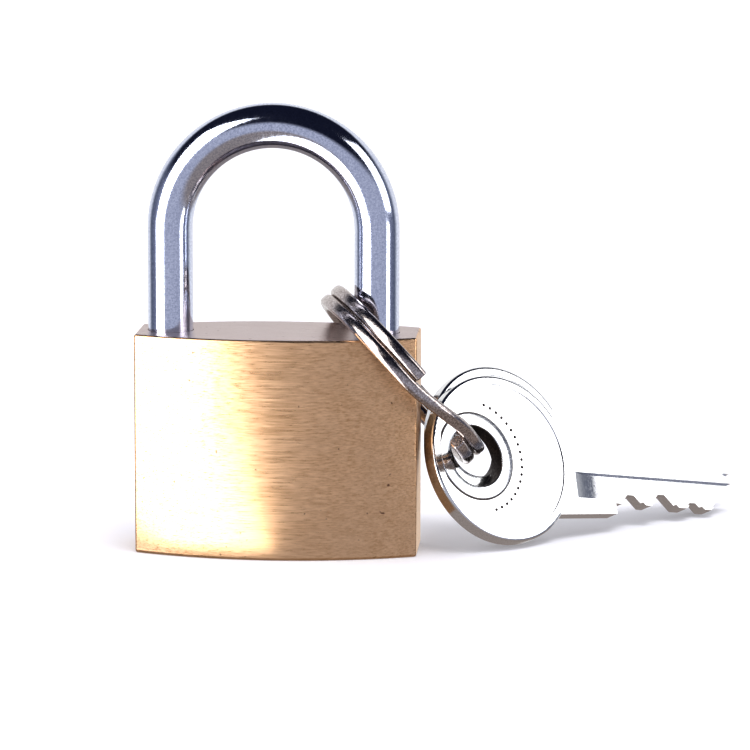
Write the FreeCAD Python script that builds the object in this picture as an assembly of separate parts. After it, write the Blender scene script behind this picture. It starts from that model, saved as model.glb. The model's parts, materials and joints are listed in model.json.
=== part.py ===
"""Small keyed padlock with a split ring and two keys hanging on its shackle.

Frame: millimetres, +Z up, +X towards the opening (toe) leg, +Y towards the back.
The origin is on the body's base, on the axis of the lock plug, where a key enters.
The lock is shown locked; the pins are drawn at the shear line, as a cut key sets them.
"""
import FreeCAD, Part
import math
import os
from FreeCAD import Vector

# ---------------------------------------------------------------- driving sizes
# Body: a solid block, flat at its ends and gently bowed at its front and back.
BODY_WIDTH = 30.0
BODY_HEIGHT = 23.5
BODY_THICKNESS = 13.9
BODY_END_THICKNESS = 7.6
BODY_EDGE_ROUND = 0.3
ROOF = 1.7
WALL = 1.2

# Shackle
ROD_DIAMETER = 4.8
HEEL_INSET = 3.5
TOE_INSET = 4.5
STRAIGHT_ABOVE_BODY = 10.9
ROD_END_CHAMFER = 0.4
HEEL_HEAD = 2.0
HEEL_SPRING_ROOM = 4.2
FLAT_ABOVE_PIN = 0.4
TOE_CLEAR = 0.4

# Plug and keyway
PLUG_RADIUS = 4.8
PLUG_RECESS = 0.25
PLUG_CAP = 0.6
PLUG_PIN_BELOW_TOP = 3.3
PLUG_PIN_INSET = 0.1
KEYWAY_FIT = 0.1
BLADE_END_GAP = 0.25

# Pin stacks
PIN_RADIUS = 1.3
PIN_FIRST = 2.6
PIN_PITCH = 4.4
CUT_DEPTHS = (1.2, 1.5, 0.8)
PIN_TIP_RADIUS = 0.45
PIN_CONE_LENGTH = 0.6
DRIVER_LENGTH = 3.6
PIN_TRAVEL_IN = 0.6
CHAMBER_END_GAP = 0.1
CHAMBER_PLUG_RADIUS = 1.65
CHAMBER_PLUG_THICKNESS = 1.2

# Cam and latch
CAM_RADIUS = 0.9
CAM_HEIGHT = 1.8
CAM_RIM = 1.1
CAM_ROOT = 0.1
CAM_REST_ANGLE = 45.0
LATCH_RADIUS = 1.5
LATCH_BITE = 0.9
LATCH_HEADROOM = 0.2
NOSE_GAP = 0.17
NOSE_BEVEL_LENGTH = 0.9
NOSE_BEVEL_HEIGHT = 0.9
PLATE_THICKNESS = 1.2
PLATE_HEADROOM = 0.4
LIP_THICKNESS = 1.23

# Small pins and springs
HEEL_PIN_RADIUS = 0.75
HEEL_PIN_BITE = 0.5
HEEL_PIN_WALL = 1.3
PLUG_PIN_RADIUS = 0.6
PIN_REACH = 3.1
PIN_HEAD_SINK = 0.1
PIN_SPRING_RADIUS = 1.1
PIN_SPRING_TURNS = 6
LATCH_SPRING_RADIUS = 1.0
LATCH_SPRING_TURNS = 7
LATCH_SPRING_WALL = 1.05
SHACKLE_SPRING_PLAY = 0.3
SHACKLE_SPRING_TURNS = 6
FINE_WIRE = 0.15
HEAVY_WIRE = 0.22

# Key
KEY_THICKNESS = 1.85
BOW_RADIUS = 9.3
BOW_EDGE_ROUND = 0.35
HOLE_RADIUS = 3.45
HOLE_OFFSET = 3.57
EMBOSS_RADIUS = 4.72
FIELD_DEPTH = 0.12
BOW_RIM = 1.0
NECK_LENGTH = 5.6
NECK_ROOT_WIDTH = 10.8
NECK_END_WIDTH = 9.8
NECK_ROOT_OVERLAP = 0.6
BLADE_HEIGHT = 6.4
BLADE_DROP = 1.0
TIP_LENGTH = 3.4
GROOVE_HEIGHT = 2.9
GROOVE_DEPTH = 0.5
GROOVE_FROM_EDGE = 0.35
GROOVE_AFTER_BOW = 0.4
GROOVE_CUTTER_RADIUS = 12.0
CUT_FLAT = 0.9

# Split ring: two flat turns of wire, joined by one sideways step
RING_SLACK = 3.46
RING_WIRE_WIDTH = 1.4
RING_WIRE_THICKNESS = 1.42
RING_TURN_GAP = 0.04
RING_WIRE_ROUND = 0.3
RING_STEP_ANGLE = 34.0
RING_STEP_START = 53.0
RING_STEP_SECTIONS = 7

# How the ring and the keys lie: angles in degrees
RING_SLOPE = 48.3
RING_ROLL = 12.0
RING_LOOP_FROM_LEG = 2.38
RING_LOOP_ABOVE_BODY = 3.45
RING_BACK_SHIFT = 2.03
KEY_HEADING = 42.7
KEY_LEAN = 24.4
KEY_PITCH = 10.5

# Where the keys hang: the front key's hole from the ring's wire, the rear key's from the front key's
FRONT_KEY_ANGLE = 4.7
FRONT_KEY_ALONG = 0.08
FRONT_KEY_UP = -0.78
REAR_KEY_ALONG = 1.658
REAR_KEY_UP = 1.759
KEY_GAP = 0.146

# Fits, gaps, and how far a cutter runs past the face that it leaves
RUNNING_FIT = 0.05
SEAT_GAP = 0.02
PIN_GAP = 0.08
PLUG_GROOVE_GAP = 0.06
NOTCH_GAP = 0.1
PASSING_GAP = 0.15
PLATE_GAP = 0.2
OVERRUN = 1.0

# ---------------------------------------------------------------- derived sizes
ROD_RADIUS = ROD_DIAMETER / 2
HEEL_X = -BODY_WIDTH / 2 + HEEL_INSET
TOE_X = BODY_WIDTH / 2 - TOE_INSET
SHACKLE_SPRING_RADIUS = ROD_RADIUS - SHACKLE_SPRING_PLAY
BEND_RADIUS = (TOE_X - HEEL_X) / 2
BEND_X = (TOE_X + HEEL_X) / 2
BEND_Z = BODY_HEIGHT + STRAIGHT_ABOVE_BODY

CHAMBER_RADIUS = PIN_RADIUS + RUNNING_FIT
PIN_COUNT = len(CUT_DEPTHS)
PIN_HEIGHTS = [PLUG_RECESS + PIN_FIRST + PIN_PITCH * i for i in range(PIN_COUNT)]
TOE_BORE_BOTTOM = PIN_HEIGHTS[-1] + CHAMBER_RADIUS + WALL
TOE_END = TOE_BORE_BOTTOM + TOE_CLEAR
LIFT = BODY_HEIGHT - TOE_END + TOE_CLEAR

CAVITY_TOP = BODY_HEIGHT - ROOF
BORE_RADIUS = PLUG_RADIUS + RUNNING_FIT
LATCH_Z = CAVITY_TOP - LATCH_HEADROOM - LATCH_RADIUS
PLATE_TOP = CAVITY_TOP - PLATE_HEADROOM
PLATE_BOTTOM = PLATE_TOP - PLATE_THICKNESS
CAM_TOP = PLATE_BOTTOM - PLATE_GAP
PLUG_TOP = CAM_TOP - CAM_HEIGHT
KEYWAY_TOP = PLUG_TOP - PLUG_CAP
BLADE_LENGTH = KEYWAY_TOP - PLUG_RECESS - BLADE_END_GAP

CAM_OFFSET = PLUG_RADIUS - CAM_RADIUS - CAM_RIM
CAM_REST_X = CAM_OFFSET * math.cos(math.radians(CAM_REST_ANGLE))
LATCH_TRAVEL = 2 * CAM_REST_X
LATCH_FACE_X = CAM_REST_X - CAM_RADIUS - PASSING_GAP
NOSE_START_X = CAM_REST_X + CAM_RADIUS + NOSE_GAP
NOSE_END_X = TOE_X - ROD_RADIUS + LATCH_BITE
EARLY_LIFT = LIFT * (LATCH_BITE + NOTCH_GAP) / LATCH_TRAVEL + PASSING_GAP

LATCH_SPRING_Z = (PLATE_TOP + PLATE_BOTTOM) / 2
LATCH_SPRING_HOLE = LATCH_SPRING_RADIUS + PASSING_GAP
HEEL_BORE_EDGE = HEEL_X + ROD_RADIUS + RUNNING_FIT
LATCH_SPRING_END_X = HEEL_BORE_EDGE + LATCH_SPRING_WALL
HEEL_PIN_X = HEEL_X + ROD_RADIUS + HEEL_PIN_RADIUS - HEEL_PIN_BITE
HEEL_PIN_Z = LATCH_SPRING_Z - LATCH_SPRING_HOLE - HEEL_PIN_RADIUS - HEEL_PIN_WALL
FLAT_X = HEEL_PIN_X - HEEL_PIN_RADIUS - PIN_GAP
FLAT_BOTTOM = HEEL_PIN_Z - HEEL_PIN_RADIUS - LIFT - PASSING_GAP
HEEL_END = FLAT_BOTTOM - HEEL_HEAD
HEEL_BORE_BOTTOM = HEEL_END - HEEL_SPRING_ROOM

PLUG_PIN_X = PLUG_PIN_INSET - BORE_RADIUS
PLUG_PIN_Z = PLUG_TOP - PLUG_PIN_BELOW_TOP
PLUG_GROOVE_RADIUS = -PLUG_PIN_X - PLUG_PIN_RADIUS - PIN_GAP

RING_INNER_RADIUS = BODY_THICKNESS / 2 + RING_SLACK
RING_RADIUS = RING_INNER_RADIUS + RING_WIRE_WIDTH / 2

SHOULDER_X = HOLE_OFFSET + BOW_RADIUS + NECK_LENGTH
BLADE_EDGE_Y = -BLADE_DROP - BLADE_HEIGHT / 2


# ---------------------------------------------------------------- shared helpers
def rod(radius, start, end):
    """Round bar between two points."""
    along = end - start
    return Part.makeCylinder(radius, along.Length, start, along)


def block(low, high):
    """Box between its lowest and its highest corner."""
    size = high - low
    return Part.makeBox(size.x, size.y, size.z, low)


def prism(points, depth):
    """Polygon in the XY plane, extruded along Z by depth."""
    face = Part.Face(Part.makePolygon(points + [points[0]]))
    return face.extrude(Vector(0, 0, depth))


def framed(shape, x_axis, y_axis, z_axis, origin):
    """Copy of a shape built at the origin, placed on the given axes."""
    matrix = FreeCAD.Matrix(
        x_axis.x, y_axis.x, z_axis.x, origin.x,
        x_axis.y, y_axis.y, z_axis.y, origin.y,
        x_axis.z, y_axis.z, z_axis.z, origin.z,
        0, 0, 0, 1)
    placed = shape.copy()
    placed.Placement = FreeCAD.Placement(matrix)
    return placed


def coil_spring(radius, wire, length, turns, start, along):
    """Compression spring of round wire; radius is its outer radius."""
    mean = radius - wire
    pitch = (length - 2 * wire) / turns
    helix = Part.makeHelix(pitch, pitch * turns, mean)
    heading = Vector(0, 2 * math.pi * mean, pitch)
    section = Part.Wire([Part.makeCircle(wire, Vector(mean, 0, 0), heading)])
    coil = Part.Wire(helix.Edges).makePipeShell([section], True, True)
    coil.translate(Vector(0, 0, wire))
    turned = FreeCAD.Rotation(Vector(0, 0, 1), along)
    coil.Placement = FreeCAD.Placement(start, turned) * coil.Placement
    return coil


def half_thickness_at(x):
    """Half the body's thickness at x, on the arc of its front or back."""
    bulge = (BODY_THICKNESS - BODY_END_THICKNESS) / 2
    half = BODY_WIDTH / 2
    arc_radius = (half ** 2 + bulge ** 2) / (2 * bulge)
    return BODY_THICKNESS / 2 - arc_radius + math.sqrt(arc_radius ** 2 - x ** 2)


# ---------------------------------------------------------------- body
def body_block():
    """Outer block: two flat ends and two bowed faces, edges eased."""
    half = BODY_WIDTH / 2
    end = BODY_END_THICKNESS / 2
    middle = BODY_THICKNESS / 2
    outline = Part.Wire([
        Part.Arc(Vector(-half, -end, 0), Vector(0, -middle, 0), Vector(half, -end, 0)).toShape(),
        Part.LineSegment(Vector(half, -end, 0), Vector(half, end, 0)).toShape(),
        Part.Arc(Vector(half, end, 0), Vector(0, middle, 0), Vector(-half, end, 0)).toShape(),
        Part.LineSegment(Vector(-half, end, 0), Vector(-half, -end, 0)).toShape()])
    solid = Part.Face(outline).extrude(Vector(0, 0, BODY_HEIGHT))
    return solid.makeFillet(BODY_EDGE_ROUND, solid.Edges)


def body():
    """Body with the plug bore, leg bores, pin chambers, latch hole and pin holes."""
    leg_bore = ROD_RADIUS + RUNNING_FIT
    above = BODY_HEIGHT + OVERRUN
    cuts = [
        rod(BORE_RADIUS, Vector(0, 0, -OVERRUN), Vector(0, 0, CAVITY_TOP)),
        rod(leg_bore, Vector(TOE_X, 0, TOE_BORE_BOTTOM), Vector(TOE_X, 0, above)),
        rod(leg_bore, Vector(HEEL_X, 0, HEEL_BORE_BOTTOM), Vector(HEEL_X, 0, above)),
        rod(LATCH_SPRING_HOLE, Vector(LATCH_SPRING_END_X, 0, LATCH_SPRING_Z), Vector(0, 0, LATCH_SPRING_Z)),
        pin_hole(HEEL_PIN_X, HEEL_PIN_Z, HEEL_PIN_RADIUS),
        pin_hole(PLUG_PIN_X, PLUG_PIN_Z, PLUG_PIN_RADIUS)]
    cuts += end_hole(LATCH_RADIUS + RUNNING_FIT, LATCH_Z)
    for height in PIN_HEIGHTS:
        cuts += end_hole(CHAMBER_RADIUS, height)
    return body_block().cut(cuts)


def end_hole(radius, height):
    """Hole from the toe end to the plug bore, and the seat of the disc that closes it."""
    outside = Vector(BODY_WIDTH / 2 + OVERRUN, 0, height)
    seat = Vector(BODY_WIDTH / 2 - CHAMBER_PLUG_THICKNESS, 0, height)
    return [rod(radius, Vector(0, 0, height), outside),
            rod(CHAMBER_PLUG_RADIUS + SEAT_GAP, seat, outside)]


def pin_hole(x, z, radius):
    """Blind hole from the back face for a driven pin."""
    start = Vector(x, -PIN_REACH - NOTCH_GAP, z)
    return rod(radius + SEAT_GAP, start, Vector(x, BODY_THICKNESS, z))


def driven_pin(x, z, radius):
    """Pin driven in from the back face, its head flush with the bowed face."""
    head = Vector(x, half_thickness_at(x) - PIN_HEAD_SINK, z)
    return rod(radius, Vector(x, -PIN_REACH, z), head)


def chamber_plug(height):
    """Disc that closes a hole in the toe end of the body."""
    start = BODY_WIDTH / 2 - CHAMBER_PLUG_THICKNESS + SEAT_GAP
    return rod(CHAMBER_PLUG_RADIUS, Vector(start, 0, height), Vector(BODY_WIDTH / 2, 0, height))


# ---------------------------------------------------------------- shackle
def shackle():
    """Bent rod: long heel leg with a flat and a groove, short toe leg with a notch."""
    heel_foot = Vector(HEEL_X, 0, HEEL_END)
    heel_top = Vector(HEEL_X, 0, BEND_Z)
    toe_top = Vector(TOE_X, 0, BEND_Z)
    crown = Vector(BEND_X, 0, BEND_Z + BEND_RADIUS)
    path = Part.Wire([
        Part.LineSegment(heel_foot, heel_top).toShape(),
        Part.Arc(heel_top, crown, toe_top).toShape(),
        Part.LineSegment(toe_top, Vector(TOE_X, 0, TOE_END)).toShape()])
    section = Part.Wire([Part.makeCircle(ROD_RADIUS, heel_foot, Vector(0, 0, 1))])
    solid = path.makePipeShell([section], True, False)
    solid = chamfer_leg_ends(solid)
    return solid.cut([heel_flat(), heel_groove(), toe_notch()])


def chamfer_leg_ends(solid):
    """Ease the lower edge of each leg."""
    ends = [edge for edge in solid.Edges
            if edge.BoundBox.ZLength < SEAT_GAP and edge.BoundBox.ZMax < TOE_END + SEAT_GAP]
    return solid.makeChamfer(ROD_END_CHAMFER, ends)


def heel_flat():
    """Flat along the heel leg, in which the retaining pin slides as the shackle lifts."""
    outside = ROD_RADIUS + OVERRUN
    top = HEEL_PIN_Z + HEEL_PIN_RADIUS + FLAT_ABOVE_PIN
    return block(Vector(FLAT_X, -outside, FLAT_BOTTOM), Vector(HEEL_X + outside, outside, top))


def heel_groove():
    """Groove round the foot of the flat, where the lifted shackle swivels on the pin."""
    height = 2 * (HEEL_PIN_RADIUS + PASSING_GAP)
    low = Vector(HEEL_X, 0, FLAT_BOTTOM)
    outer = Part.makeCylinder(ROD_RADIUS + OVERRUN, height, low)
    return outer.cut(Part.makeCylinder(FLAT_X - HEEL_X, height, low))


def toe_notch():
    """Notch on the inner side of the toe leg, taller below the latch than above it."""
    low = LATCH_Z - LATCH_RADIUS - EARLY_LIFT
    high = LATCH_Z + LATCH_RADIUS + PASSING_GAP
    outside = ROD_RADIUS + OVERRUN
    return block(Vector(TOE_X - outside, -outside, low), Vector(NOSE_END_X + NOTCH_GAP, outside, high))


# ---------------------------------------------------------------- plug and pins
def blade_section(grow):
    """Cross-section of the key's blade: x up the blade's height, y through it."""
    half = BLADE_HEIGHT / 2
    side = KEY_THICKNESS / 2
    groove_high = half - GROOVE_FROM_EDGE
    groove_low = groove_high - GROOVE_HEIGHT
    floor = side - GROOVE_DEPTH
    return [
        Vector(-half - grow, -side - grow, 0),
        Vector(half + grow, -side - grow, 0),
        Vector(half + grow, side + grow, 0),
        Vector(groove_high - grow, side + grow, 0),
        Vector(groove_high - grow, floor + grow, 0),
        Vector(groove_low + grow, floor + grow, 0),
        Vector(groove_low + grow, side + grow, 0),
        Vector(-half - grow, side + grow, 0)]


def plug():
    """Turning plug: keyway, pin chambers, retaining groove and the cam on its top."""
    solid = rod(PLUG_RADIUS, Vector(0, 0, PLUG_RECESS), Vector(0, 0, PLUG_TOP))
    keyway = prism(blade_section(KEYWAY_FIT), KEYWAY_TOP + OVERRUN)
    keyway.translate(Vector(0, 0, -OVERRUN))
    outside = PLUG_RADIUS + OVERRUN
    groove = rod(outside, groove_point(-1), groove_point(1))
    groove = groove.cut(rod(PLUG_GROOVE_RADIUS, groove_point(-1), groove_point(1)))
    chamber_floor = BLADE_HEIGHT / 2 - max(CUT_DEPTHS) - PIN_TRAVEL_IN - CHAMBER_END_GAP
    cuts = [keyway, groove]
    for height in PIN_HEIGHTS:
        cuts.append(rod(CHAMBER_RADIUS, Vector(chamber_floor, 0, height), Vector(outside, 0, height)))
    cam_base = Vector(CAM_REST_X, CAM_REST_X, PLUG_TOP - CAM_ROOT)
    cam = rod(CAM_RADIUS, cam_base, Vector(CAM_REST_X, CAM_REST_X, CAM_TOP))
    return solid.cut(cuts).fuse(cam).removeSplitter()


def groove_point(side):
    """Centre of the lower (-1) or the upper (1) wall of the plug's retaining groove."""
    return Vector(0, 0, PLUG_PIN_Z + side * (PLUG_PIN_RADIUS + PLUG_GROOVE_GAP))


def key_pin(height, depth):
    """Lower pin, with a coned tip that sits in a key cut of the given depth."""
    tip = BLADE_HEIGHT / 2 - depth + RUNNING_FIT
    shear = math.sqrt(PLUG_RADIUS ** 2 - PIN_RADIUS ** 2) - SEAT_GAP
    foot = Vector(tip, 0, height)
    cone = Part.makeCone(PIN_TIP_RADIUS, PIN_RADIUS, PIN_CONE_LENGTH, foot, Vector(1, 0, 0))
    shank = rod(PIN_RADIUS, foot + Vector(PIN_CONE_LENGTH, 0, 0), Vector(shear, 0, height))
    return cone.fuse(shank).removeSplitter()


def driver_pin(height):
    """Upper pin, resting just outside the plug at the shear line."""
    start = BORE_RADIUS + SEAT_GAP
    return rod(PIN_RADIUS, Vector(start, 0, height), Vector(start + DRIVER_LENGTH, 0, height))


def pin_spring(height):
    """Spring between a driver pin and the disc that closes its chamber."""
    start = BORE_RADIUS + 2 * SEAT_GAP + DRIVER_LENGTH
    length = BODY_WIDTH / 2 - CHAMBER_PLUG_THICKNESS - start
    base = Vector(start, 0, height)
    return coil_spring(PIN_SPRING_RADIUS, FINE_WIRE, length, PIN_SPRING_TURNS, base, Vector(1, 0, 0))


# ---------------------------------------------------------------- latch and springs
def latch():
    """Latch: a yoke plate over the cam, a lip that the cam pushes, and a round nose."""
    reach = BORE_RADIUS - PASSING_GAP
    top = Vector(0, 0, PLATE_TOP)
    step = Vector(LATCH_TRAVEL, 0, 0)
    low = Vector(0, 0, PLUG_TOP + PASSING_GAP)
    yoke = rod(reach, low, top).common(rod(reach, low + step, top + step))
    back_x = LATCH_FACE_X - LIP_THICKNESS
    yoke = yoke.cut([
        block(Vector(-reach, -reach, 0), Vector(back_x, reach, CAVITY_TOP)),
        block(Vector(LATCH_FACE_X, -reach, 0), Vector(reach, reach, PLATE_BOTTOM))])
    nose = rod(LATCH_RADIUS, Vector(NOSE_START_X, 0, LATCH_Z), Vector(NOSE_END_X, 0, LATCH_Z))
    return yoke.fuse(nose.cut(nose_bevel())).removeSplitter()


def nose_bevel():
    """Wedge cut from the upper edge of the nose, so that the toe leg can push the latch in."""
    corner_z = LATCH_Z + LATCH_RADIUS
    wedge = prism([
        Vector(NOSE_END_X - NOSE_BEVEL_LENGTH, corner_z, 0),
        Vector(NOSE_END_X, corner_z, 0),
        Vector(NOSE_END_X, corner_z - NOSE_BEVEL_HEIGHT, 0)], 2 * LATCH_RADIUS)
    middle = Vector(0, LATCH_RADIUS, 0)
    return framed(wedge, Vector(1, 0, 0), Vector(0, 0, 1), Vector(0, -1, 0), middle)


def latch_spring():
    """Spring that pushes the latch towards the toe leg."""
    start = LATCH_SPRING_END_X + SEAT_GAP
    end = LATCH_FACE_X - LIP_THICKNESS - SEAT_GAP
    base = Vector(start, 0, LATCH_SPRING_Z)
    return coil_spring(LATCH_SPRING_RADIUS, FINE_WIRE, end - start, LATCH_SPRING_TURNS, base, Vector(1, 0, 0))


def shackle_spring():
    """Spring under the heel leg that lifts the shackle when it is released."""
    base = Vector(HEEL_X, 0, HEEL_BORE_BOTTOM + SEAT_GAP)
    length = HEEL_END - HEEL_BORE_BOTTOM - 2 * SEAT_GAP
    return coil_spring(SHACKLE_SPRING_RADIUS, HEAVY_WIRE, length, SHACKLE_SPRING_TURNS, base, Vector(0, 0, 1))


# ---------------------------------------------------------------- split ring
def ring_axes():
    """Unit axes of the ring: down its slope, away from the viewer's side, and its normal."""
    slope = math.radians(RING_SLOPE)
    roll = math.radians(RING_ROLL)
    down = Vector(math.cos(slope), 0, -math.sin(slope))
    up = Vector(math.sin(slope), 0, math.cos(slope))
    normal = up * math.cos(roll) + Vector(0, 1, 0) * math.sin(roll)
    return down, normal.cross(down), normal


def ring_centre():
    """Centre of the ring, whose upper loop hangs round the toe leg above the body."""
    down = ring_axes()[0]
    loop = Vector(
        TOE_X - ROD_RADIUS - RING_LOOP_FROM_LEG,
        RING_BACK_SHIFT,
        BODY_HEIGHT + RING_LOOP_ABOVE_BODY)
    return loop + down * RING_RADIUS


def ring_section(angle, level):
    """Rounded square of wire across the ring at an angle, its middle at a level."""
    turn = math.radians(angle)
    out = Vector(math.cos(turn), math.sin(turn), 0)
    centre = out * RING_RADIUS + Vector(0, 0, level)
    corners = [[centre + out * r + Vector(0, 0, z) for r, z in arc] for arc in wire_corners()]
    edges = []
    for i, (first, middle, last) in enumerate(corners):
        edges.append(Part.Arc(first, middle, last).toShape())
        edges.append(Part.LineSegment(last, corners[(i + 1) % len(corners)][0]).toShape())
    return Part.Wire(edges)


def wire_corners():
    """Three points on each rounded corner of the wire's section, as (outward, up) pairs."""
    half_width = RING_WIRE_WIDTH / 2
    half_height = RING_WIRE_THICKNESS / 2
    sweep = RING_WIRE_ROUND * (1 - math.sqrt(0.5))
    arcs = []
    for side, top in ((1, 1), (-1, 1), (-1, -1), (1, -1)):
        beside = (side * half_width, top * (half_height - RING_WIRE_ROUND))
        middle = (side * (half_width - sweep), top * (half_height - sweep))
        above = (side * (half_width - RING_WIRE_ROUND), top * half_height)
        arcs.append((beside, middle, above) if side * top > 0 else (above, middle, beside))
    return arcs


def ring_turn(start, level):
    """One flat turn of the ring, short of a full circle by the step."""
    face = Part.Face(ring_section(start, level))
    return face.revolve(Vector(0, 0, 0), Vector(0, 0, 1), 360 - RING_STEP_ANGLE)


def split_ring():
    """Two turns of wire; the step crosses from the lower turn to the upper one."""
    level = (RING_WIRE_THICKNESS + RING_TURN_GAP) / 2
    start = -RING_STEP_START
    lower = ring_turn(start, -level)
    upper = ring_turn(start, level)
    sections = []
    for i in range(RING_STEP_SECTIONS):
        share = i / (RING_STEP_SECTIONS - 1)
        rise = -math.cos(math.pi * share) * level
        sections.append(ring_section(start - RING_STEP_ANGLE * (1 - share), rise))
    step = Part.makeLoft(sections, True, False)
    solid = lower.fuse([upper, step])
    down, back, normal = ring_axes()
    return framed(solid, down, back, normal, ring_centre())


# ---------------------------------------------------------------- keys
def key_axes():
    """Unit axes of a key: along the blade, up its height, and out of its front face."""
    heading = math.radians(KEY_HEADING)
    lean = math.radians(KEY_LEAN)
    pitch = math.radians(KEY_PITCH)
    face = Vector(
        math.sin(heading) * math.cos(lean),
        -math.cos(heading) * math.cos(lean),
        math.sin(lean))
    level = Vector(math.cos(heading), math.sin(heading), 0)
    rise = face.cross(level)
    along = level * math.cos(pitch) - rise * math.sin(pitch)
    up = level * math.sin(pitch) + rise * math.cos(pitch)
    return along, up, face


def front_hole_centre():
    """Middle of the front key's hole: a point of the ring's wire, shifted within the key's plane."""
    down, back, _normal = ring_axes()
    turn = math.radians(FRONT_KEY_ANGLE)
    wire = ring_centre() + (down * math.cos(turn) + back * math.sin(turn)) * RING_RADIUS
    along, up, _face = key_axes()
    return wire + along * FRONT_KEY_ALONG + up * FRONT_KEY_UP


def rear_hole_centre():
    """Middle of the rear key's hole: one key's thickness and a gap behind the front key's."""
    along, up, face = key_axes()
    behind = face * -(KEY_THICKNESS + KEY_GAP)
    return front_hole_centre() + along * REAR_KEY_ALONG + up * REAR_KEY_UP + behind


def key_blank():
    """Bow and blade, built flat: the hole's centre at the origin, the blade along +X."""
    half = KEY_THICKNESS / 2
    bow = Part.makeCylinder(BOW_RADIUS, KEY_THICKNESS, Vector(HOLE_OFFSET, 0, -half))
    bow = bow.makeFillet(BOW_EDGE_ROUND, [e for e in bow.Edges if e.BoundBox.ZLength < SEAT_GAP])
    root_x = HOLE_OFFSET + math.sqrt(BOW_RADIUS ** 2 - (NECK_ROOT_WIDTH / 2) ** 2) - NECK_ROOT_OVERLAP
    neck_y = -BLADE_DROP / 2
    neck = prism([
        Vector(root_x, neck_y - NECK_ROOT_WIDTH / 2, -half),
        Vector(SHOULDER_X, neck_y - NECK_END_WIDTH / 2, -half),
        Vector(SHOULDER_X, neck_y + NECK_END_WIDTH / 2, -half),
        Vector(root_x, neck_y + NECK_ROOT_WIDTH / 2, -half)], KEY_THICKNESS)
    root = SHOULDER_X - OVERRUN
    tip_x = SHOULDER_X + BLADE_LENGTH
    blade = prism([
        Vector(root, BLADE_EDGE_Y, -half),
        Vector(tip_x - TIP_LENGTH, BLADE_EDGE_Y, -half),
        Vector(tip_x, -BLADE_DROP, -half),
        Vector(tip_x - TIP_LENGTH, BLADE_EDGE_Y + BLADE_HEIGHT, -half),
        Vector(root, BLADE_EDGE_Y + BLADE_HEIGHT, -half)], KEY_THICKNESS)
    return bow.fuse([neck, blade]).removeSplitter()


def bow_field(side):
    """Sunk field on one face of the bow, round the raised ring at its hole."""
    base = side * KEY_THICKNESS / 2 - FIELD_DEPTH
    field = Part.makeCylinder(BOW_RADIUS - BOW_RIM, 2 * FIELD_DEPTH, Vector(HOLE_OFFSET, 0, base))
    return field.cut(Part.makeCylinder(EMBOSS_RADIUS, 2 * FIELD_DEPTH, Vector(0, 0, base)))


def blade_groove():
    """Groove along the blade, and the arc that its round cutter leaves beside the bow."""
    floor_z = KEY_THICKNESS / 2 - GROOVE_DEPTH
    low_y = BLADE_EDGE_Y + GROOVE_FROM_EDGE
    run_out = math.sqrt(2 * GROOVE_CUTTER_RADIUS * GROOVE_DEPTH - GROOVE_DEPTH ** 2)
    flat_x = HOLE_OFFSET + BOW_RADIUS + GROOVE_AFTER_BOW + run_out
    high = Vector(SHOULDER_X + BLADE_LENGTH + OVERRUN, low_y + GROOVE_HEIGHT, floor_z + OVERRUN)
    straight = block(Vector(flat_x, low_y, floor_z), high)
    cutter = rod(
        GROOVE_CUTTER_RADIUS,
        Vector(flat_x, low_y, floor_z + GROOVE_CUTTER_RADIUS),
        Vector(flat_x, low_y + GROOVE_HEIGHT, floor_z + GROOVE_CUTTER_RADIUS))
    return [straight, cutter]


def pin_cut(order, depth):
    """Cut in the blade's edge for one key pin: a short flat between two slopes."""
    middle = SHOULDER_X + PIN_FIRST + PIN_PITCH * order
    floor_y = BLADE_EDGE_Y + depth
    spread = CUT_FLAT / 2 + depth + OVERRUN
    low_z = -KEY_THICKNESS
    return prism([
        Vector(middle - CUT_FLAT / 2, floor_y, low_z),
        Vector(middle - spread, BLADE_EDGE_Y - OVERRUN, low_z),
        Vector(middle + spread, BLADE_EDGE_Y - OVERRUN, low_z),
        Vector(middle + CUT_FLAT / 2, floor_y, low_z)], 2 * KEY_THICKNESS)


def key_cuts():
    """What is cut from the blank: hole, sunk fields, the blade's groove and the pin cuts."""
    hole = Part.makeCylinder(HOLE_RADIUS, 2 * KEY_THICKNESS, Vector(0, 0, -KEY_THICKNESS))
    cuts = [hole, bow_field(-1), bow_field(1)] + blade_groove()
    return cuts + [pin_cut(order, depth) for order, depth in enumerate(CUT_DEPTHS)]


def key(hole_centre):
    """Key hanging on the ring by the hole in its bow."""
    along, up, face = key_axes()
    return framed(key_blank().cut(key_cuts()), along, up, face, hole_centre)


# ---------------------------------------------------------------- assembly
def build_nodes():
    """Every piece of the padlock by its name."""
    nodes = {
        "body": body(),
        "shackle": shackle(),
        "plug": plug(),
        "latch": latch(),
        "latch_spring": latch_spring(),
        "latch_hole_plug": chamber_plug(LATCH_Z),
        "shackle_spring": shackle_spring(),
        "heel_retaining_pin": driven_pin(HEEL_PIN_X, HEEL_PIN_Z, HEEL_PIN_RADIUS),
        "plug_retaining_pin": driven_pin(PLUG_PIN_X, PLUG_PIN_Z, PLUG_PIN_RADIUS),
        "chamber_plugs": Part.makeCompound([chamber_plug(height) for height in PIN_HEIGHTS]),
        "split_ring": split_ring(),
        "key_1": key(front_hole_centre()),
        "key_2": key(rear_hole_centre())}
    for i, (height, depth) in enumerate(zip(PIN_HEIGHTS, CUT_DEPTHS), start=1):
        nodes["key_pin_%d" % i] = key_pin(height, depth)
        nodes["driver_pin_%d" % i] = driver_pin(height)
        nodes["pin_spring_%d" % i] = pin_spring(height)
    return nodes


def print_facts():
    """Joint places and travels, for the record."""
    print("lift %.4f  latch travel %.4f" % (LIFT, LATCH_TRAVEL))
    print("ring loop", ring_centre() - ring_axes()[0] * RING_RADIUS, "normal", ring_axes()[2])
    print("key holes", front_hole_centre(), rear_hole_centre(), "face", key_axes()[2])


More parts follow.
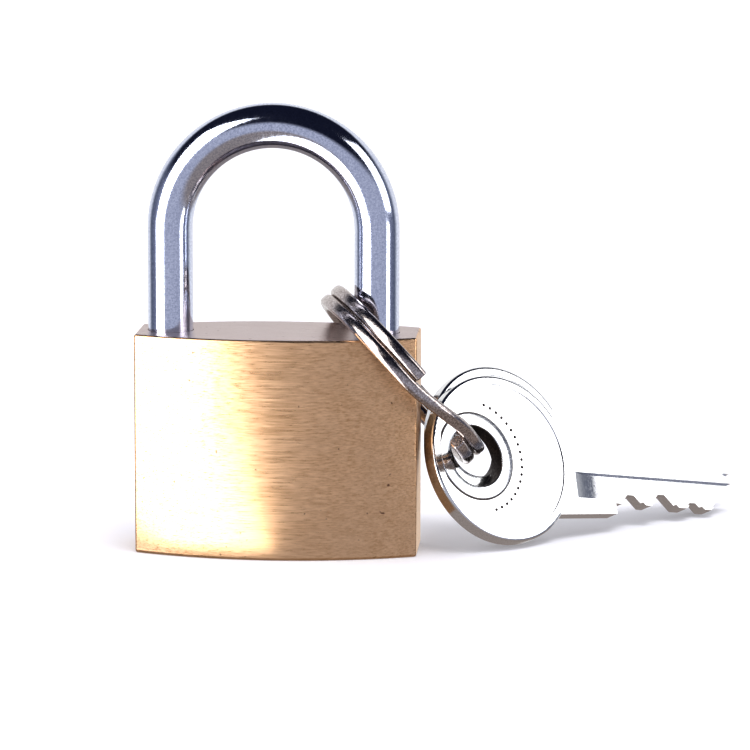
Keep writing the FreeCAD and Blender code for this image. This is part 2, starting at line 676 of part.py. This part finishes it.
os.makedirs("parts", exist_ok=True)
print_facts()
for name, shape in build_nodes().items():
    shape.exportStep("parts/%s.step" % name)
    print("%-20s solids %d  valid %s  volume %.2f" % (name, len(shape.Solids), shape.isValid(), shape.Volume))
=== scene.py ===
"""Looks of a small brass padlock with a split ring and two keys, in a white studio."""

import json
import math

import bmesh
import bpy
from mathutils import Matrix, Vector


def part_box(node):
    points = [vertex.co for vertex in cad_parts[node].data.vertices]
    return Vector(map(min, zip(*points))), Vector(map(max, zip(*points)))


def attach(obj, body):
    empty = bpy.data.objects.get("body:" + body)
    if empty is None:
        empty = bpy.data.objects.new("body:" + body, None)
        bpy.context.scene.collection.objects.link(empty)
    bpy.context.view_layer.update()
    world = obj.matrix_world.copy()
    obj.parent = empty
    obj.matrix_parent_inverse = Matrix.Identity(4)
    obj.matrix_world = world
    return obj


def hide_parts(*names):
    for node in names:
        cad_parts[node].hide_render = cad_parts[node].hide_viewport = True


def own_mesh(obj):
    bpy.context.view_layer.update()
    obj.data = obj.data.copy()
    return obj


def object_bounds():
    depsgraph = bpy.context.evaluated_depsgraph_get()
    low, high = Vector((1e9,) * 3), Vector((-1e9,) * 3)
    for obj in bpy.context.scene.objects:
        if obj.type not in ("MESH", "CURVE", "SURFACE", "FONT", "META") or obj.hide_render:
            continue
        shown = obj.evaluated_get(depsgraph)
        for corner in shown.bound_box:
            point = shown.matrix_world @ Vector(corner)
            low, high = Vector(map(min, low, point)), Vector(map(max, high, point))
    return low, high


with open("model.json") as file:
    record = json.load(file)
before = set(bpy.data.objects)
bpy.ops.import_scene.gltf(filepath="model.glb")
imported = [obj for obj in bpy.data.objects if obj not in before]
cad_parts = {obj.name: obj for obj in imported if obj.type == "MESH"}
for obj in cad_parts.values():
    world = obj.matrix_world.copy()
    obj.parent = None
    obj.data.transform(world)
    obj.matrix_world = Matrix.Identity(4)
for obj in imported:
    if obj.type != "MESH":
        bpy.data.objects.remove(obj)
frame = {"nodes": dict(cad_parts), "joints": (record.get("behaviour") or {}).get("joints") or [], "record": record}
cad_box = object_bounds()

MM = 0.001

# Camera
CAMERA_AZIMUTH = 3.99
CAMERA_ELEVATION = 9.418
CAMERA_ROLL = 0.121
CAMERA_DISTANCE = 425.29 * MM
CAMERA_LENS = 192.0
CAMERA_NEAREST = 0.02
CAMERA_FARTHEST = 20.0
AIM_FROM_BODY = Vector((10.309, 0.0, 7.122)) * MM


def direction(azimuth, elevation):
    """Unit vector towards an azimuth (0 is -Y, 90 is +X) and an elevation, in degrees."""
    turn, rise = math.radians(azimuth), math.radians(elevation)
    return Vector((math.sin(turn) * math.cos(rise), -math.cos(turn) * math.cos(rise), math.sin(rise)))


def axes_matrix(x_axis, y_axis, z_axis, origin):
    """Matrix of a frame with these axes and this origin."""
    matrix = Matrix((x_axis, y_axis, z_axis)).transposed().to_4x4()
    matrix.translation = origin
    return matrix


def link(obj):
    """Put an object in the scene."""
    bpy.context.scene.collection.objects.link(obj)
    return obj


def make_camera():
    """Long lens, looking slightly down at the front of the body."""
    low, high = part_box("body")
    back = direction(CAMERA_AZIMUTH, CAMERA_ELEVATION)
    right = Vector((0, 0, 1)).cross(back).normalized()
    up = back.cross(right)
    roll = math.radians(CAMERA_ROLL)
    rolled_right = right * math.cos(roll) + up * math.sin(roll)
    rolled_up = up * math.cos(roll) - right * math.sin(roll)
    camera = link(bpy.data.objects.new("camera", bpy.data.cameras.new("camera")))
    camera.data.lens = CAMERA_LENS
    camera.data.clip_start = CAMERA_NEAREST
    camera.data.clip_end = CAMERA_FARTHEST
    aim = (low + high) / 2 + AIM_FROM_BODY
    camera.matrix_world = axes_matrix(rolled_right, rolled_up, back, aim + back * CAMERA_DISTANCE)
    bpy.context.scene.camera = camera


make_camera()


# ---------------------------------------------------------------- studio
# What the metals see of the room, by direction: each number runs from -1 to 1 over the ramp's 0 to 1.
ROOM_BY_DEPTH = [
    (0.0, (0.58, 0.60, 0.70)), (0.28, (0.52, 0.54, 0.64)), (0.45, (0.26, 0.28, 0.37)),
    (0.64, (0.20, 0.22, 0.28)), (0.80, (0.95, 0.96, 1.0)), (1.0, (1.0, 1.0, 1.0))]
CEILING_BY_HEIGHT = [(0.0, (0, 0, 0)), (0.62, (0, 0, 0)), (0.72, (1, 1, 1)), (1.0, (1, 1, 1))]
TABLE_BY_HEIGHT = [(0.0, (1, 1, 1)), (0.27, (1, 1, 1)), (0.35, (0, 0, 0)), (1.0, (0, 0, 0))]
CEILING_COLOUR = (0.020, 0.024, 0.050, 1)
TABLE_COLOUR = (0.40, 0.355, 0.34, 1)
WHITE_ROOM = (1.05, 1.05, 1.09, 1)
CEILING_RISE_AT_BACK = 0.5
FLOOR_HALF = 3.0
FLOOR_BELOW_BODY = 0.02 * MM
GLOW_BELOW_BODY = 0.01 * MM


def mix_node(nodes, links, factor, first, second):
    """Mix of two colours, either of which may come from a node."""
    mix = nodes.new("ShaderNodeMixRGB")
    links.new(factor, mix.inputs["Fac"])
    for name, colour in (("Color1", first), ("Color2", second)):
        if isinstance(colour, tuple):
            mix.inputs[name].default_value = colour
        else:
            links.new(colour, mix.inputs[name])
    return mix.outputs[0]


def ceiling_height(nodes, links, split):
    """Height of a direction, lowered towards the back so that the dark ceiling starts higher there."""
    behind = nodes.new("ShaderNodeMath")
    behind.operation = "MAXIMUM"
    links.new(split.outputs["Y"], behind.inputs[0])
    behind.inputs[1].default_value = 0.0
    height = nodes.new("ShaderNodeMath")
    height.operation = "MULTIPLY_ADD"
    links.new(behind.outputs[0], height.inputs[0])
    height.inputs[1].default_value = -CEILING_RISE_AT_BACK
    links.new(split.outputs["Z"], height.inputs[2])
    return height.outputs[0]


def make_world():
    """White to the camera; in reflections a bright back, dim sides, dark ceiling and greyish table."""
    world = bpy.data.worlds.new("studio")
    bpy.context.scene.world = world
    world.use_nodes = True
    nodes, links = world.node_tree.nodes, world.node_tree.links
    nodes.clear()
    coords = nodes.new("ShaderNodeTexCoord")
    split = nodes.new("ShaderNodeSeparateXYZ")
    links.new(coords.outputs["Generated"], split.inputs[0])
    room = ramp_node(nodes, links, split.outputs["Y"], ROOM_BY_DEPTH)
    ceiling = ramp_node(nodes, links, ceiling_height(nodes, links, split), CEILING_BY_HEIGHT)
    table = ramp_node(nodes, links, split.outputs["Z"], TABLE_BY_HEIGHT)
    seen = mix_node(nodes, links, ceiling, room, CEILING_COLOUR)
    seen = mix_node(nodes, links, table, seen, TABLE_COLOUR)
    path = nodes.new("ShaderNodeLightPath")
    white = nodes.new("ShaderNodeMath")
    white.operation = "MAXIMUM"
    links.new(path.outputs["Is Camera Ray"], white.inputs[0])
    links.new(path.outputs["Is Diffuse Ray"], white.inputs[1])
    background = nodes.new("ShaderNodeBackground")
    links.new(mix_node(nodes, links, white.outputs[0], seen, WHITE_ROOM), background.inputs["Color"])
    output = nodes.new("ShaderNodeOutputWorld")
    links.new(background.outputs[0], output.inputs["Surface"])


def ramp_node(nodes, links, value, stops):
    """Colour ramp over values from -1 to 1."""
    scale = nodes.new("ShaderNodeMapRange")
    links.new(value, scale.inputs["Value"])
    scale.inputs["From Min"].default_value = -1
    scale.inputs["From Max"].default_value = 1
    ramp = nodes.new("ShaderNodeValToRGB")
    elements = ramp.color_ramp.elements
    while len(elements) < len(stops):
        elements.new(0.5)
    for element, (place, _) in zip(elements, stops):
        element.position = place
    for element, (_, colour) in zip(elements, stops):
        element.color = (*colour, 1)
    links.new(scale.outputs["Result"], ramp.inputs["Fac"])
    return ramp.outputs["Color"]


def soft_box(name, azimuth, elevation, distance, size, radiance):
    """Area light that the metals reflect; radiance is what a mirror shows of it."""
    low, high = cad_box
    light = bpy.data.lights.new(name, "AREA")
    light.shape = "RECTANGLE"
    light.size, light.size_y = size
    light.energy = radiance * math.pi * size[0] * size[1]
    lamp = link(bpy.data.objects.new(name, light))
    towards = direction(azimuth, elevation)
    lamp.location = (low + high) / 2 + towards * distance
    lamp.rotation_mode = "QUATERNION"
    lamp.rotation_quaternion = towards.to_track_quat("Z", "Y")
    lamp.visible_camera = False
    lamp.visible_diffuse = False


def floor_sun(azimuth, elevation, strength, angle):
    """Wide sun that only lights the floor, for the soft shadows under the keys."""
    light = bpy.data.lights.new("floor_sun", "SUN")
    light.energy = strength
    light.angle = math.radians(angle)
    lamp = link(bpy.data.objects.new("floor_sun", light))
    lamp.rotation_mode = "QUATERNION"
    lamp.rotation_quaternion = direction(azimuth, elevation).to_track_quat("Z", "Y")
    lamp.visible_glossy = False


def floor_glow(name, outline, radiance):
    """Bright patch of floor that only the metals see, where a soft box burns the floor out; outline in mm."""
    mesh = bpy.data.meshes.new(name)
    build = bmesh.new()
    build.faces.new([build.verts.new((x * MM, y * MM, 0)) for x, y in outline])
    build.normal_update()
    build.to_mesh(mesh)
    build.free()
    material = bpy.data.materials.new(name)
    material.use_nodes = True
    nodes, links = material.node_tree.nodes, material.node_tree.links
    nodes.clear()
    emission = nodes.new("ShaderNodeEmission")
    emission.inputs["Strength"].default_value = radiance
    output = nodes.new("ShaderNodeOutputMaterial")
    links.new(emission.outputs[0], output.inputs["Surface"])
    mesh.materials.append(material)
    patch = link(bpy.data.objects.new(name, mesh))
    patch.location.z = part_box("body")[0].z - GLOW_BELOW_BODY
    patch.visible_camera = False
    patch.visible_diffuse = False
    patch.visible_shadow = False


def make_floor(material):
    """Pale floor under the body's base."""
    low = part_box("body")[0]
    mesh = bpy.data.meshes.new("floor")
    build = bmesh.new()
    bmesh.ops.create_grid(build, x_segments=8, y_segments=8, size=FLOOR_HALF)
    build.to_mesh(mesh)
    build.free()
    floor = link(bpy.data.objects.new("floor", mesh))
    floor.location.z = low.z - FLOOR_BELOW_BODY
    floor.data.materials.append(material)
    floor.visible_glossy = False


make_world()
soft_box("left_box", azimuth=-47, elevation=20, distance=0.45, size=(0.33, 0.50), radiance=4.2)
soft_box("right_box", azimuth=73.5, elevation=27, distance=0.45, size=(0.30, 0.36), radiance=2.3)
floor_sun(azimuth=35, elevation=72, strength=1.5, angle=30)
floor_glow("left_glow", radiance=3.4, outline=[
    (0, -12), (-19, -77), (-107, -153), (-260, -290), (-600, -600),
    (-900, -300), (-183, -62), (-40, -14), (-16, -9)])
floor_glow("right_glow", radiance=4.0, outline=[
    (75, -44), (150, -100), (600, -400), (700, -250), (190, -60), (85, -25)])


# ---------------------------------------------------------------- materials
class Metal:
    """Metallic material with short calls for the nodes of its pattern."""

    def __init__(self, name, roughness):
        self.material = bpy.data.materials.new(name)
        self.material.use_nodes = True
        self.nodes = self.material.node_tree.nodes
        self.links = self.material.node_tree.links
        self.shader = self.nodes["Principled BSDF"]
        self.shader.inputs["Metallic"].default_value = 1.0
        self.shader.inputs["Roughness"].default_value = roughness
        self.place = self.nodes.new("ShaderNodeTexCoord").outputs["Object"]

    def upwards(self):
        """How far the surface faces up, 1 where it is level."""
        split = self.nodes.new("ShaderNodeSeparateXYZ")
        self.links.new(self.nodes.new("ShaderNodeTexCoord").outputs["Normal"], split.inputs[0])
        return split.outputs["Z"]

    def noise(self, cells, detail=3.0, roughness=0.55):
        """Noise with this many cells per metre along each axis."""
        mapping = self.nodes.new("ShaderNodeMapping")
        mapping.inputs["Scale"].default_value = cells
        self.links.new(self.place, mapping.inputs["Vector"])
        noise = self.nodes.new("ShaderNodeTexNoise")
        noise.inputs["Scale"].default_value = 1.0
        noise.inputs["Detail"].default_value = detail
        noise.inputs["Roughness"].default_value = roughness
        self.links.new(mapping.outputs["Vector"], noise.inputs["Vector"])
        return noise.outputs["Fac"]

    def spread(self, value, from_low, from_high, to_low, to_high):
        """Value mapped from one range to another, and kept inside it."""
        node = self.nodes.new("ShaderNodeMapRange")
        self.links.new(value, node.inputs["Value"])
        for name, number in zip(("From Min", "From Max", "To Min", "To Max"),
                                (from_low, from_high, to_low, to_high)):
            node.inputs[name].default_value = number
        return node.outputs["Result"]

    def add(self, first, second):
        """Sum of two values."""
        node = self.nodes.new("ShaderNodeMath")
        node.operation = "ADD"
        self.links.new(first, node.inputs[0])
        self.links.new(second, node.inputs[1])
        return node.outputs[0]

    def blend(self, factor, first, second):
        """Mix of two colours, the second or both given as three numbers."""
        colours = [(*colour, 1) if isinstance(colour, tuple) else colour for colour in (first, second)]
        return mix_node(self.nodes, self.links, factor, *colours)

    def bump(self, height, strength, depth, under=None):
        """Bump of a depth in metres, on top of another bump."""
        node = self.nodes.new("ShaderNodeBump")
        node.inputs["Strength"].default_value = strength
        node.inputs["Distance"].default_value = depth
        self.links.new(height, node.inputs["Height"])
        if under:
            self.links.new(under, node.inputs["Normal"])
        return node.outputs[0]

    def finish(self, colour, roughness, normal):
        """Connect the pattern to the shader."""
        self.links.new(colour, self.shader.inputs["Base Color"])
        self.links.new(roughness, self.shader.inputs["Roughness"])
        self.links.new(normal, self.shader.inputs["Normal"])
        return self.material


# Brass pattern: cells per metre, then shares of the noise's range
CLOUD_CELLS = 170
SPECK_CELLS = 1300
SPECK_RANGE = (0.74, 0.78)
SPECK_SHARE = 0.8
SPECK_COLOUR = (0.16, 0.07, 0.05)
SAWN_COLOUR = (0.62, 0.55, 0.57)
SAWN_RANGE = (0.8, 0.95)
STROKE_TO_GRAIN = 0.28
GRAIN_RANGE = (0.36, 0.62)
GRAIN_SHARE = 0.7
STROKE_SHARE = 0.3
CLOUD_RANGE = (0.35, 0.7)
CLOUD_SHARE = 0.35
CLOUD_DARKENING = 0.8
NOISE_RANGE = (0.3, 0.7)
BRASS_BUMP = 0.012 * MM

# Plate pattern
RIPPLE_CELLS = 700
PIT_CELLS = 5200
PIT_RANGE = (0.35, 0.65)
SCRATCH_RANGE = (0.35, 0.75)
SCRATCH_ROUGHNESS = (0.8, 1.7)
RIPPLE_BUMP = 0.010 * MM

# Floor card
CARD_ROUGHNESS = 0.9
CARD_COLOUR = (0.60, 0.60, 0.63, 1)
CARD_GLOW_COLOUR = (1.0, 1.0, 1.03, 1)
CARD_GLOW = 0.26


def brushed_brass(name, grain_cells, light, dark, roughness, sawn):
    """Satin brass: short strokes one way, cloudy tarnish, dark specks, and a greyer top where it is sawn."""
    metal = Metal(name, roughness)
    grain = metal.noise(grain_cells, 4.0, 0.65)
    strokes = metal.noise(tuple(cells * STROKE_TO_GRAIN for cells in grain_cells), 3.0, 0.6)
    cloud = metal.noise((CLOUD_CELLS, CLOUD_CELLS, CLOUD_CELLS), 3.0)
    faces_up = metal.spread(metal.upwards(), *SAWN_RANGE, 0.0, sawn)
    speck = metal.noise((SPECK_CELLS, SPECK_CELLS, SPECK_CELLS), 1.0)
    tone = metal.add(metal.spread(grain, *GRAIN_RANGE, 0.0, GRAIN_SHARE),
                     metal.spread(strokes, *NOISE_RANGE, 0.0, STROKE_SHARE))
    colour = metal.blend(tone, dark, light)
    tarnish = tuple(part * CLOUD_DARKENING for part in light)
    colour = metal.blend(metal.spread(cloud, *CLOUD_RANGE, 0.0, CLOUD_SHARE), colour, tarnish)
    colour = metal.blend(faces_up, colour, SAWN_COLOUR)
    colour = metal.blend(metal.spread(speck, *SPECK_RANGE, 0.0, SPECK_SHARE), colour, SPECK_COLOUR)
    rough = metal.spread(grain, *NOISE_RANGE, roughness - 0.05, roughness + 0.10)
    normal = metal.bump(strokes, 0.5, BRASS_BUMP)
    normal = metal.bump(grain, 0.6, BRASS_BUMP, normal)
    return metal.finish(colour, rough, normal)


def plated(name, light, dark, roughness, pit_depth, scratch_cells):
    """Bright plate: faint ripple, fine pits and light scratches."""
    metal = Metal(name, roughness)
    ripple = metal.noise((RIPPLE_CELLS, RIPPLE_CELLS, RIPPLE_CELLS), 2.0)
    pits = metal.noise((PIT_CELLS, PIT_CELLS, PIT_CELLS), 2.0, 0.7)
    scratch = metal.noise(scratch_cells, 3.0, 0.7)
    colour = metal.blend(metal.spread(pits, *PIT_RANGE, 0.0, 1.0), dark, light)
    smoothest, roughest = (roughness * share for share in SCRATCH_ROUGHNESS)
    rough = metal.spread(scratch, *SCRATCH_RANGE, smoothest, roughest)
    normal = metal.bump(ripple, 0.35, RIPPLE_BUMP)
    normal = metal.bump(pits, 0.6, pit_depth, normal)
    return metal.finish(colour, rough, normal)


def floor_material():
    """Matt white card that glows a little, so that its shadows stay pale."""
    material = bpy.data.materials.new("white_card")
    material.use_nodes = True
    shader = material.node_tree.nodes["Principled BSDF"]
    shader.inputs["Roughness"].default_value = CARD_ROUGHNESS
    shader.inputs["Specular IOR Level"].default_value = 0.0
    shader.inputs["Base Color"].default_value = CARD_COLOUR
    shader.inputs["Emission Color"].default_value = CARD_GLOW_COLOUR
    shader.inputs["Emission Strength"].default_value = CARD_GLOW
    return material


FINE_PITS = 0.004 * MM
DEEP_PITS = 0.008 * MM
MATERIALS = {
    "brass_body": brushed_brass(
        "satin_brass", grain_cells=(300, 7000, 7000),
        light=(1.0, 0.70, 0.45), dark=(0.66, 0.41, 0.215), roughness=0.30, sawn=0.85),
    "brass_parts": brushed_brass(
        "turned_brass", grain_cells=(900, 900, 4200),
        light=(0.92, 0.66, 0.34), dark=(0.76, 0.48, 0.22), roughness=0.26, sawn=0.0),
    "chrome": plated(
        "bright_chrome", light=(0.84, 0.87, 0.96), dark=(0.62, 0.65, 0.76), roughness=0.10,
        pit_depth=FINE_PITS, scratch_cells=(2500, 2500, 500)),
    "nickel_ring": plated(
        "ring_nickel", light=(0.74, 0.68, 0.66), dark=(0.38, 0.33, 0.31), roughness=0.16,
        pit_depth=DEEP_PITS, scratch_cells=(900, 3000, 3000)),
    "nickel_key": plated(
        "key_nickel", light=(0.90, 0.90, 0.90), dark=(0.80, 0.80, 0.80), roughness=0.15,
        pit_depth=FINE_PITS, scratch_cells=(600, 3000, 3000)),
    "spring_steel": plated(
        "spring_steel", light=(0.62, 0.63, 0.66), dark=(0.45, 0.46, 0.48), roughness=0.25,
        pit_depth=FINE_PITS, scratch_cells=(3000, 3000, 3000)),
    "steel_pin": plated(
        "ground_steel", light=(0.60, 0.60, 0.62), dark=(0.46, 0.46, 0.48), roughness=0.30,
        pit_depth=FINE_PITS, scratch_cells=(3000, 3000, 900)),
}
# Dark plate for the key's dots, and painted shade for the dark line at the collar's foot and the dark sleeve in
# the hole.
DOTS_AND_PAINTED_SHADE = plated(
    "key_dots_and_painted_shade", light=(0.16, 0.14, 0.13), dark=(0.07, 0.06, 0.06), roughness=0.45,
    pit_depth=FINE_PITS, scratch_cells=(900, 3000, 3000))
make_floor(floor_material())


# ---------------------------------------------------------------- shaped pieces
RING_CENTRE = Vector((13.09, 2.03, 18.60)) * MM
RING_SLOPE = 48.3
RING_ROLL = 12.0
RING_RADIUS = 11.11 * MM
WIRE_HALF_WIDTH = 0.69 * MM
WIRE_HALF_HEIGHT = 0.70 * MM
WIRE_ROUND = 0.48 * MM
TURN_LEVEL = 0.73 * MM
LOWER_END = -40.0
STEP_FROM = 268.0
STEP_TO = 321.0
UPPER_END = 633.0
WIRE_STEP = 3
WIRE_END_BEVEL = 0.5
WIRE_END_SHARE = 0.86

KEY_PITCH = 10.5
KEY_HALF = 0.925 * MM
FIELD_DEPTH = 0.12 * MM
COLLAR_INNER = 3.40 * MM
COLLAR_OUTER = 4.80 * MM
COLLAR_PROUD = 0.035 * MM
COLLAR_ROUND = 0.12 * MM
DOT_CIRCLE = 6.15 * MM
DOT_RADIUS = 0.17 * MM
DOT_SINK = 0.01 * MM
DOT_COUNT = 19
DOT_FIRST = -72
DOT_STEP = 8
DOT_SIDES = 12
DOT_RISES = (0.0, 0.35, 0.65, 0.88)
# Painted shade on the keys: size of the dark line at the collar's foot and of the dark sleeve in the hole.
SHADE_LINE_WIDTH = 0.13 * MM
SHADE_LINE_HALF_HEIGHT = 0.03 * MM
SHADE_LINE_ROUND = 0.02 * MM
BORE_SHADE_HALF = 0.86 * MM
SHARP_ANGLE = 40


def mesh_piece(name, points, faces, material, node, matrix=None):
    """Mesh that rides a CAD body and takes a slot's finish."""
    mesh = bpy.data.meshes.new(name)
    mesh.from_pydata([tuple(point) for point in points], [], faces)
    build = bmesh.new()
    build.from_mesh(mesh)
    bmesh.ops.recalc_face_normals(build, faces=build.faces)
    build.to_mesh(mesh)
    build.free()
    mesh.shade_smooth()
    mesh.set_sharp_from_angle(angle=math.radians(SHARP_ANGLE))
    mesh.materials.append(material)
    piece = link(bpy.data.objects.new(name, mesh))
    if matrix:
        piece.matrix_world = matrix
    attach(piece, node)
    return piece


def rounded_section(half_width, half_height, radius, steps=5):
    """Closed outline of a rectangle with round corners."""
    outline = []
    for quarter, (side, top) in enumerate(((1, 1), (-1, 1), (-1, -1), (1, -1))):
        for step in range(steps + 1):
            angle = math.radians(90 * (quarter + step / steps))
            outline.append((side * (half_width - radius) + radius * math.cos(angle),
                            top * (half_height - radius) + radius * math.sin(angle)))
    return outline


def skin(rings, closed):
    """Faces between equal rings of points; the ends are capped unless the row is closed."""
    count, size = len(rings), len(rings[0])
    faces = []
    for i in range(count if closed else count - 1):
        for j in range(size):
            a, b = i * size, (i + 1) % count * size
            faces.append((a + j, a + (j + 1) % size, b + (j + 1) % size, b + j))
    if not closed:
        faces.append(tuple(range(size)))
        faces.append(tuple(range((count - 1) * size, count * size)))
    return faces


def wire_level(angle):
    """Height of the wire's centre: lower turn, long easy step, upper turn."""
    share = min(1.0, max(0.0, (angle - STEP_FROM) / (STEP_TO - STEP_FROM)))
    return TURN_LEVEL * (2 * share * share * (3 - 2 * share) - 1)


def split_ring():
    """Two turns of rounded wire with square cut ends."""
    slope, roll = math.radians(RING_SLOPE), math.radians(RING_ROLL)
    down = Vector((math.cos(slope), 0, -math.sin(slope)))
    flat_normal = Vector((math.sin(slope), 0, math.cos(slope)))
    normal = flat_normal * math.cos(roll) + Vector((0, 1, 0)) * math.sin(roll)
    back = normal.cross(down)
    section = rounded_section(WIRE_HALF_WIDTH, WIRE_HALF_HEIGHT, WIRE_ROUND)
    angles = [LOWER_END, LOWER_END + WIRE_END_BEVEL]
    while angles[-1] + WIRE_STEP < UPPER_END - WIRE_END_BEVEL:
        angles.append(angles[-1] + WIRE_STEP)
    angles += [UPPER_END - WIRE_END_BEVEL, UPPER_END]
    rings = []
    for angle in angles:
        turn = math.radians(angle)
        out = down * math.cos(turn) + back * math.sin(turn)
        share = WIRE_END_SHARE if angle in (LOWER_END, UPPER_END) else 1.0
        middle = RING_CENTRE + out * RING_RADIUS + normal * wire_level(angle)
        rings.append([middle + out * (w * share) + normal * (h * share) for w, h in section])
    points = [point for ring in rings for point in ring]
    faces = skin(rings, False)
    piece = mesh_piece("ring_wire", points, faces, MATERIALS["nickel_ring"], "split_ring")
    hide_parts("split_ring")


def turned(inner, outer, low, high, radius, segments=96):
    """Ring turned about Z, with a rounded rectangular section."""
    section = rounded_section((outer - inner) / 2, (high - low) / 2, radius, 3)
    middle, level = (inner + outer) / 2, (low + high) / 2
    rings = []
    for i in range(segments):
        turn = math.tau * i / segments
        rings.append([Vector(((middle + w) * math.cos(turn), (middle + w) * math.sin(turn), level + h))
                      for w, h in section])
    return [point for ring in rings for point in ring], skin(rings, True)


def dome(centre, radius, height, side):
    """Low round dot standing on a face."""
    rings = []
    for share in DOT_RISES:
        reach = radius * math.cos(share * math.pi / 2)
        rise = side * height * math.sin(share * math.pi / 2)
        turns = [math.tau * i / DOT_SIDES for i in range(DOT_SIDES)]
        around = [Vector((reach * math.cos(turn), reach * math.sin(turn), rise)) for turn in turns]
        rings.append([centre + spoke for spoke in around])
    return [point for ring in rings for point in ring], skin(rings, False)


def joined(parts):
    """One list of points and faces from several."""
    points, faces = [], []
    for part_points, part_faces in parts:
        base = len(points)
        points += part_points
        faces += [tuple(base + i for i in face) for face in part_faces]
    return points, faces


def key_matrix(joint):
    """Frame of a key: its hole's centre, X along the blade, Z out of the face."""
    entry = next(j for j in frame["joints"] if j["name"] == joint)
    face = Vector(entry["axis"]).normalized()
    level = Vector((0, 0, 1)).cross(face).normalized()
    rise = face.cross(level)
    pitch = math.radians(KEY_PITCH)
    along = level * math.cos(pitch) - rise * math.sin(pitch)
    up = level * math.sin(pitch) + rise * math.cos(pitch)
    return axes_matrix(along, up, face, Vector(entry["pos_m"]))


def key_collar(key, matrix):
    """Raised collar with rounded edges, through the hole and out of both faces."""
    top = KEY_HALF + COLLAR_PROUD
    points, faces = turned(COLLAR_INNER, COLLAR_OUTER, -top, top, COLLAR_ROUND)
    mesh_piece(key + "_collar", points, faces, MATERIALS["nickel_key"], key, matrix)


def key_painted_shade(key, matrix):
    """Painted shade: a dark line at the collar's foot on both faces, and a dark sleeve on the hole's wall,
    standing in for the shade in these corners.
    """
    field = KEY_HALF - FIELD_DEPTH
    bands = []
    for side in (-1, 1):
        bands.append(turned(COLLAR_OUTER - SHADE_LINE_HALF_HEIGHT, COLLAR_OUTER + SHADE_LINE_WIDTH,
                            side * field - SHADE_LINE_HALF_HEIGHT, side * field + SHADE_LINE_HALF_HEIGHT, SHADE_LINE_ROUND))
    bands.append(turned(COLLAR_INNER - SHADE_LINE_HALF_HEIGHT, COLLAR_INNER + SHADE_LINE_HALF_HEIGHT,
                        -BORE_SHADE_HALF, BORE_SHADE_HALF, SHADE_LINE_ROUND))
    points, faces = joined(bands)
    mesh_piece(key + "_painted_shade", points, faces, DOTS_AND_PAINTED_SHADE, key, matrix)


def key_dots(key, matrix):
    """Row of plain dots round part of the collar, on both faces."""
    floor = KEY_HALF - FIELD_DEPTH - DOT_SINK
    dots = []
    for side in (-1, 1):
        for i in range(DOT_COUNT):
            turn = math.radians(DOT_FIRST + DOT_STEP * i)
            centre = Vector((DOT_CIRCLE * math.cos(turn), DOT_CIRCLE * math.sin(turn), side * floor))
            dots.append(dome(centre, DOT_RADIUS, FIELD_DEPTH, side))
    points, faces = joined(dots)
    mesh_piece(key + "_dots", points, faces, DOTS_AND_PAINTED_SHADE, key, matrix)


def key_details(key, joint):
    """Everything that is added to a key."""
    matrix = key_matrix(joint)
    key_collar(key, matrix)
    key_painted_shade(key, matrix)
    key_dots(key, matrix)


def sprung(node):
    """Copy of a spring that rides the lock body in place of the hidden CAD part."""
    source = frame["nodes"][node]
    piece = link(bpy.data.objects.new(node + "_coil", source.data.copy()))
    piece.matrix_world = source.matrix_world
    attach(piece, "lock_body")
    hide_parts(node)
    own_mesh(piece)


def springs():
    """Copies of the latch spring and of the three driver pin springs."""
    sprung("latch_spring")
    for i in (1, 2, 3):
        sprung(f"pin_spring_{i}")


split_ring()
key_details("key_1", "key_1_swing")
key_details("key_2", "key_2_swing")


def paint_nodes():
    """Give each CAD node the material of its slot."""
    slots = {part["node"]: part["material_slot"] for part in frame["record"]["subparts"]}
    for name, obj in frame["nodes"].items():
        obj.data.materials.clear()
        obj.data.materials.append(MATERIALS[slots[name]])


paint_nodes()
springs()

scene = bpy.context.scene
scene.view_settings.view_transform = "Standard"
scene.view_settings.look = "None"
scene.view_settings.gamma = 0.75
